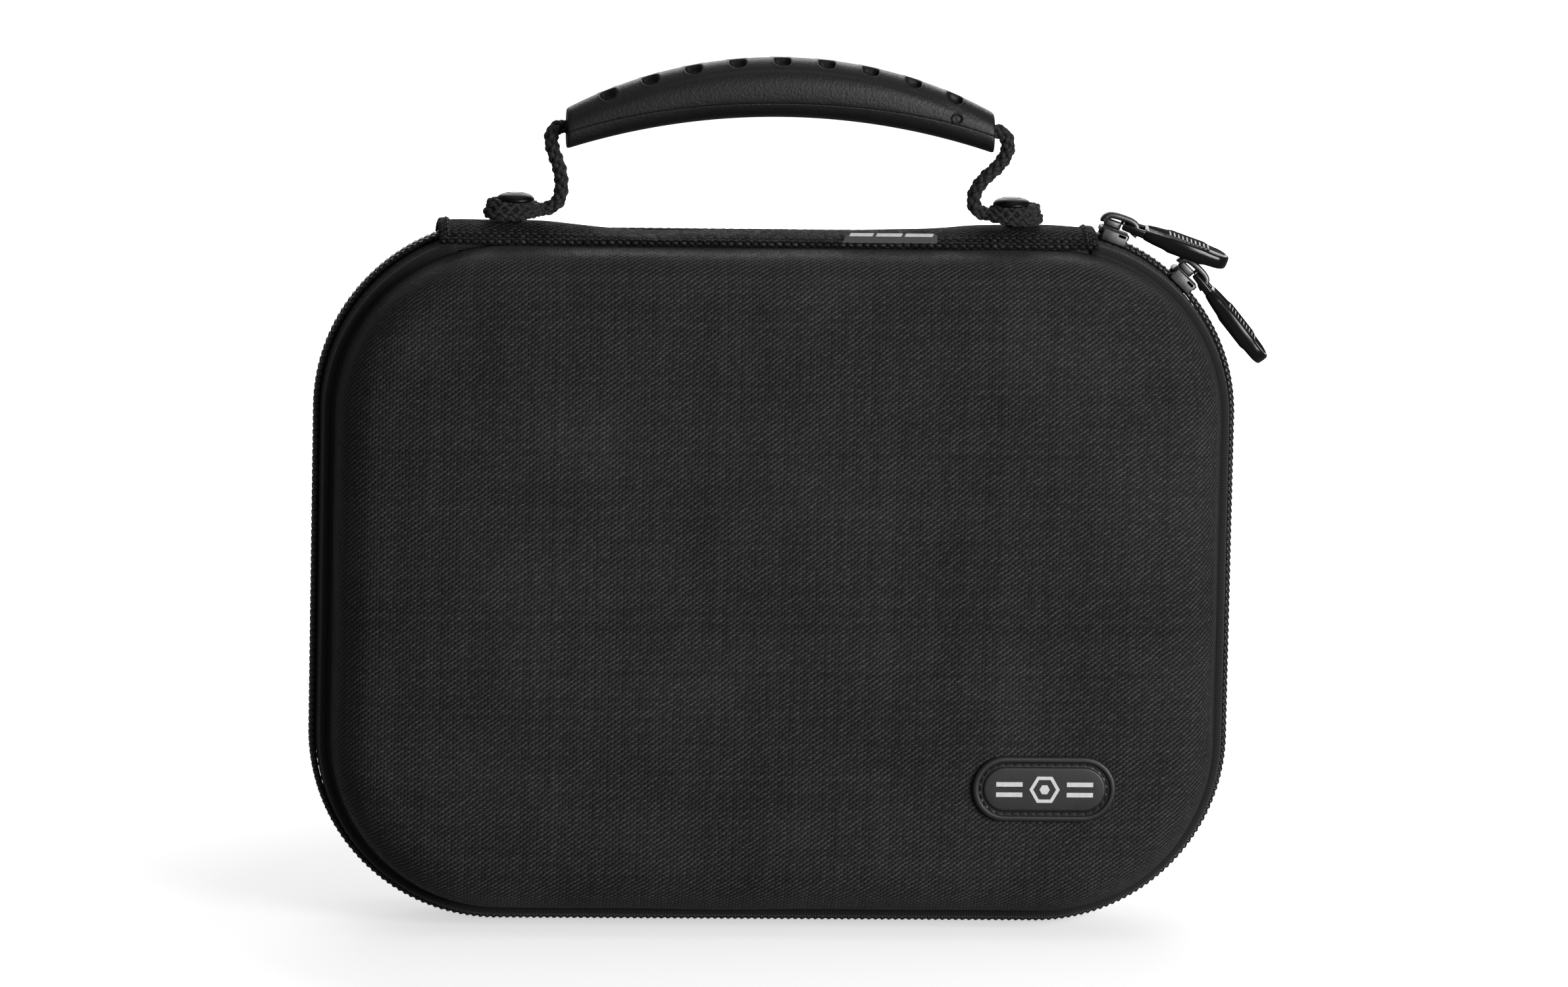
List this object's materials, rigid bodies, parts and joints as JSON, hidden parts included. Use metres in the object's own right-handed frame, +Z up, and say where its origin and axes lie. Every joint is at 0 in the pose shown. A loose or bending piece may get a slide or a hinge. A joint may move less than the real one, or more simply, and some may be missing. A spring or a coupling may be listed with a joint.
{
  "type": "miniature carry case",
  "caption": "Moulded soft-sided clamshell carry case with a coil zip round three sides, a fabric spine, a riveted rope grip and a foam-lined inside.",
  "frame": {"origin": "on the floor, at the middle of the zip coil's straight bottom run that the case stands on", "axes": "+X to the case's right as seen from the front, -Y out of the front face, +Z up through the grip"},
  "size_m": [0.2766, 0.0742, 0.2516],
  "materials": {
    "eva_shell": "matt moulded foam",
    "cover_fabric": "coarse plain weave",
    "lining_fabric": "fine knit",
    "binding_fabric": "ribbed tape",
    "zip_tape": "smooth ribbed tape",
    "zip_coil": "satin",
    "foam": "open cell foam",
    "badge_rubber": "satin",
    "light_print": "matt",
    "thread": "twisted thread",
    "stiffener": "matt",
    "label_rubber": "matt",
    "anchor_plastic": "satin",
    "rivet_metal": "black satin",
    "grip_rubber": "fine grain satin",
    "rope_cord": "braided cord",
    "slider_metal": "gunmetal satin",
    "pull_rubber": "gloss"
  },
  "bodies": {
    "back_half": {"back_shell": "eva_shell", "back_cover": "cover_fabric", "back_lining": "lining_fabric", "back_binding": "binding_fabric", "back_zip_tape": "zip_tape", "back_zip_coil": "zip_coil", "tray_pad": "foam", "tray_frame": "foam", "tray_long_dividers": "foam", "tray_short_dividers": "foam"},
    "spine": {"spine_cover": "cover_fabric", "spine_piping": "binding_fabric", "spine_board": "stiffener", "spine_lining": "lining_fabric", "spine_label": "label_rubber", "label_stripe": "light_print", "rope_anchor_left": "anchor_plastic", "rope_anchor_right": "anchor_plastic", "rivets": "rivet_metal", "rivet_washers": "rivet_metal"},
    "front_half": {"front_shell": "eva_shell", "front_cover": "cover_fabric", "front_lining": "lining_fabric", "front_binding": "binding_fabric", "front_zip_tape": "zip_tape", "front_zip_coil": "zip_coil", "lid_foam": "foam", "badge_patch": "badge_rubber", "badge_mark": "light_print", "badge_stitches": "thread"},
    "handle": {"grip_upper": "grip_rubber", "grip_lower": "grip_rubber", "handle_rope": "rope_cord", "grip_pin": "grip_rubber"},
    "slider_1": {"slider_1_body": "slider_metal", "slider_1_crown": "slider_metal"},
    "pull_1": {"pull_1_link": "slider_metal", "pull_1_tab": "pull_rubber"},
    "slider_2": {"slider_2_body": "slider_metal", "slider_2_crown": "slider_metal"},
    "pull_2": {"pull_2_link": "slider_metal", "pull_2_tab": "pull_rubber"}
  },
  "joints": [
    {"name": "back_fold", "type": "hinge", "parent": "back_half", "child": "spine", "pos_m": [0, 0.013, 0.1992], "axis": [1, 0, 0], "range_deg": [-90, 0]},
    {"name": "front_fold", "type": "hinge", "parent": "spine", "child": "front_half", "pos_m": [0, -0.013, 0.1992], "axis": [1, 0, 0], "range_deg": [-90, 0], "deforming": ["front_zip_tape", "front_zip_coil"]},
    {"name": "handle_swing", "type": "hinge", "parent": "spine", "child": "handle", "pos_m": [0, 0, 0.2068], "axis": [-1, 0, 0], "range_deg": [0, 80]},
    {"name": "slider_1_travel", "type": "hinge", "parent": "back_half", "child": "slider_1", "pos_m": [0.0785, 0, 0.149], "axis": [0, 1, 0], "range_deg": [0, 7]},
    {"name": "pull_1_flip", "type": "hinge", "parent": "slider_1", "child": "pull_1", "pos_m": [0.10062, 0, 0.20397], "axis": [0, -1, 0], "range_deg": [0, 120]},
    {"name": "slider_2_travel", "type": "hinge", "parent": "back_half", "child": "slider_2", "pos_m": [0.0785, 0, 0.149], "axis": [0, 1, 0], "range_deg": [-7, 40]},
    {"name": "pull_2_flip", "type": "hinge", "parent": "slider_2", "child": "pull_2", "pos_m": [0.12171, 0, 0.18955], "axis": [0, -1, 0], "range_deg": [0, 54]}
  ],
  "couplings": [
    {"joint": "front_fold", "follows": "back_fold", "ratio": 1}
  ]
}
